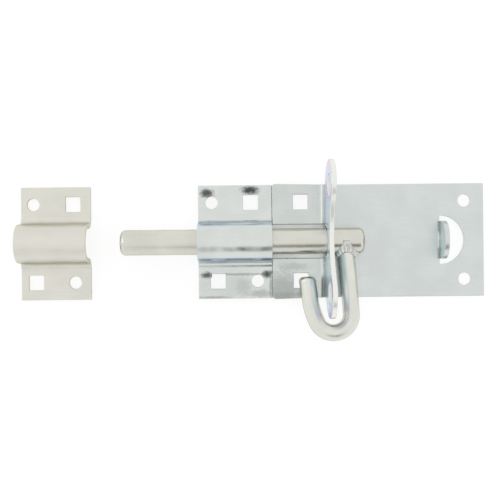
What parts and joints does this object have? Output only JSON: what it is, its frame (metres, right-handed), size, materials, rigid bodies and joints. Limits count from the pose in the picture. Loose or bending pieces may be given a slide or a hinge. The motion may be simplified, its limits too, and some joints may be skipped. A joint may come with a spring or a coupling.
{
  "type": "sliding gate bolt with padlock plate",
  "caption": "Sliding gate bolt of plated steel: round rod in an arched guide, hooked pull handle, upright plate with padlock ears, bent-up end stop and a separate arched keep.",
  "frame": {"origin": "centre of the backplate's rear face", "axes": "+X along the rod from its tip towards the pull handle, +Z out of the plate, +Y across the plate away from the stored handle"},
  "size_m": [0.2952, 0.1131, 0.04],
  "materials": {
    "zinc_plate": "bright zinc plate on cold-rolled sheet, satin",
    "zinc_bar": "bright zinc plate on drawn round bar, glossy with fine lengthwise lines",
    "zinc_keep": "bright zinc plate, warmer and duller",
    "weld_metal": "plated weld bead"
  },
  "bodies": {
    "base": {"backplate": "zinc_plate", "guide_strap": "zinc_plate", "locking_bracket": "zinc_plate"},
    "bolt": {"bolt_rod": "zinc_bar"},
    "handle": {"pull_handle": "zinc_bar", "handle_weld": "weld_metal"},
    "keep": {"keep": "zinc_keep"}
  },
  "joints": [
    {"name": "rod_slide", "type": "slide", "parent": "base", "child": "bolt", "axis": [1, 0, 0], "range_m": [-0.002, 0.004]},
    {"name": "handle_turn", "type": "hinge", "parent": "bolt", "child": "handle", "pos_m": [0.0017, 0, 0.0116], "axis": [-1, 0, 0], "range_deg": [0, 120]},
    {"name": "keep_slide", "type": "slide", "parent": "base", "child": "keep", "axis": [1, 0, 0], "range_m": [0, 0.06]}
  ]
}
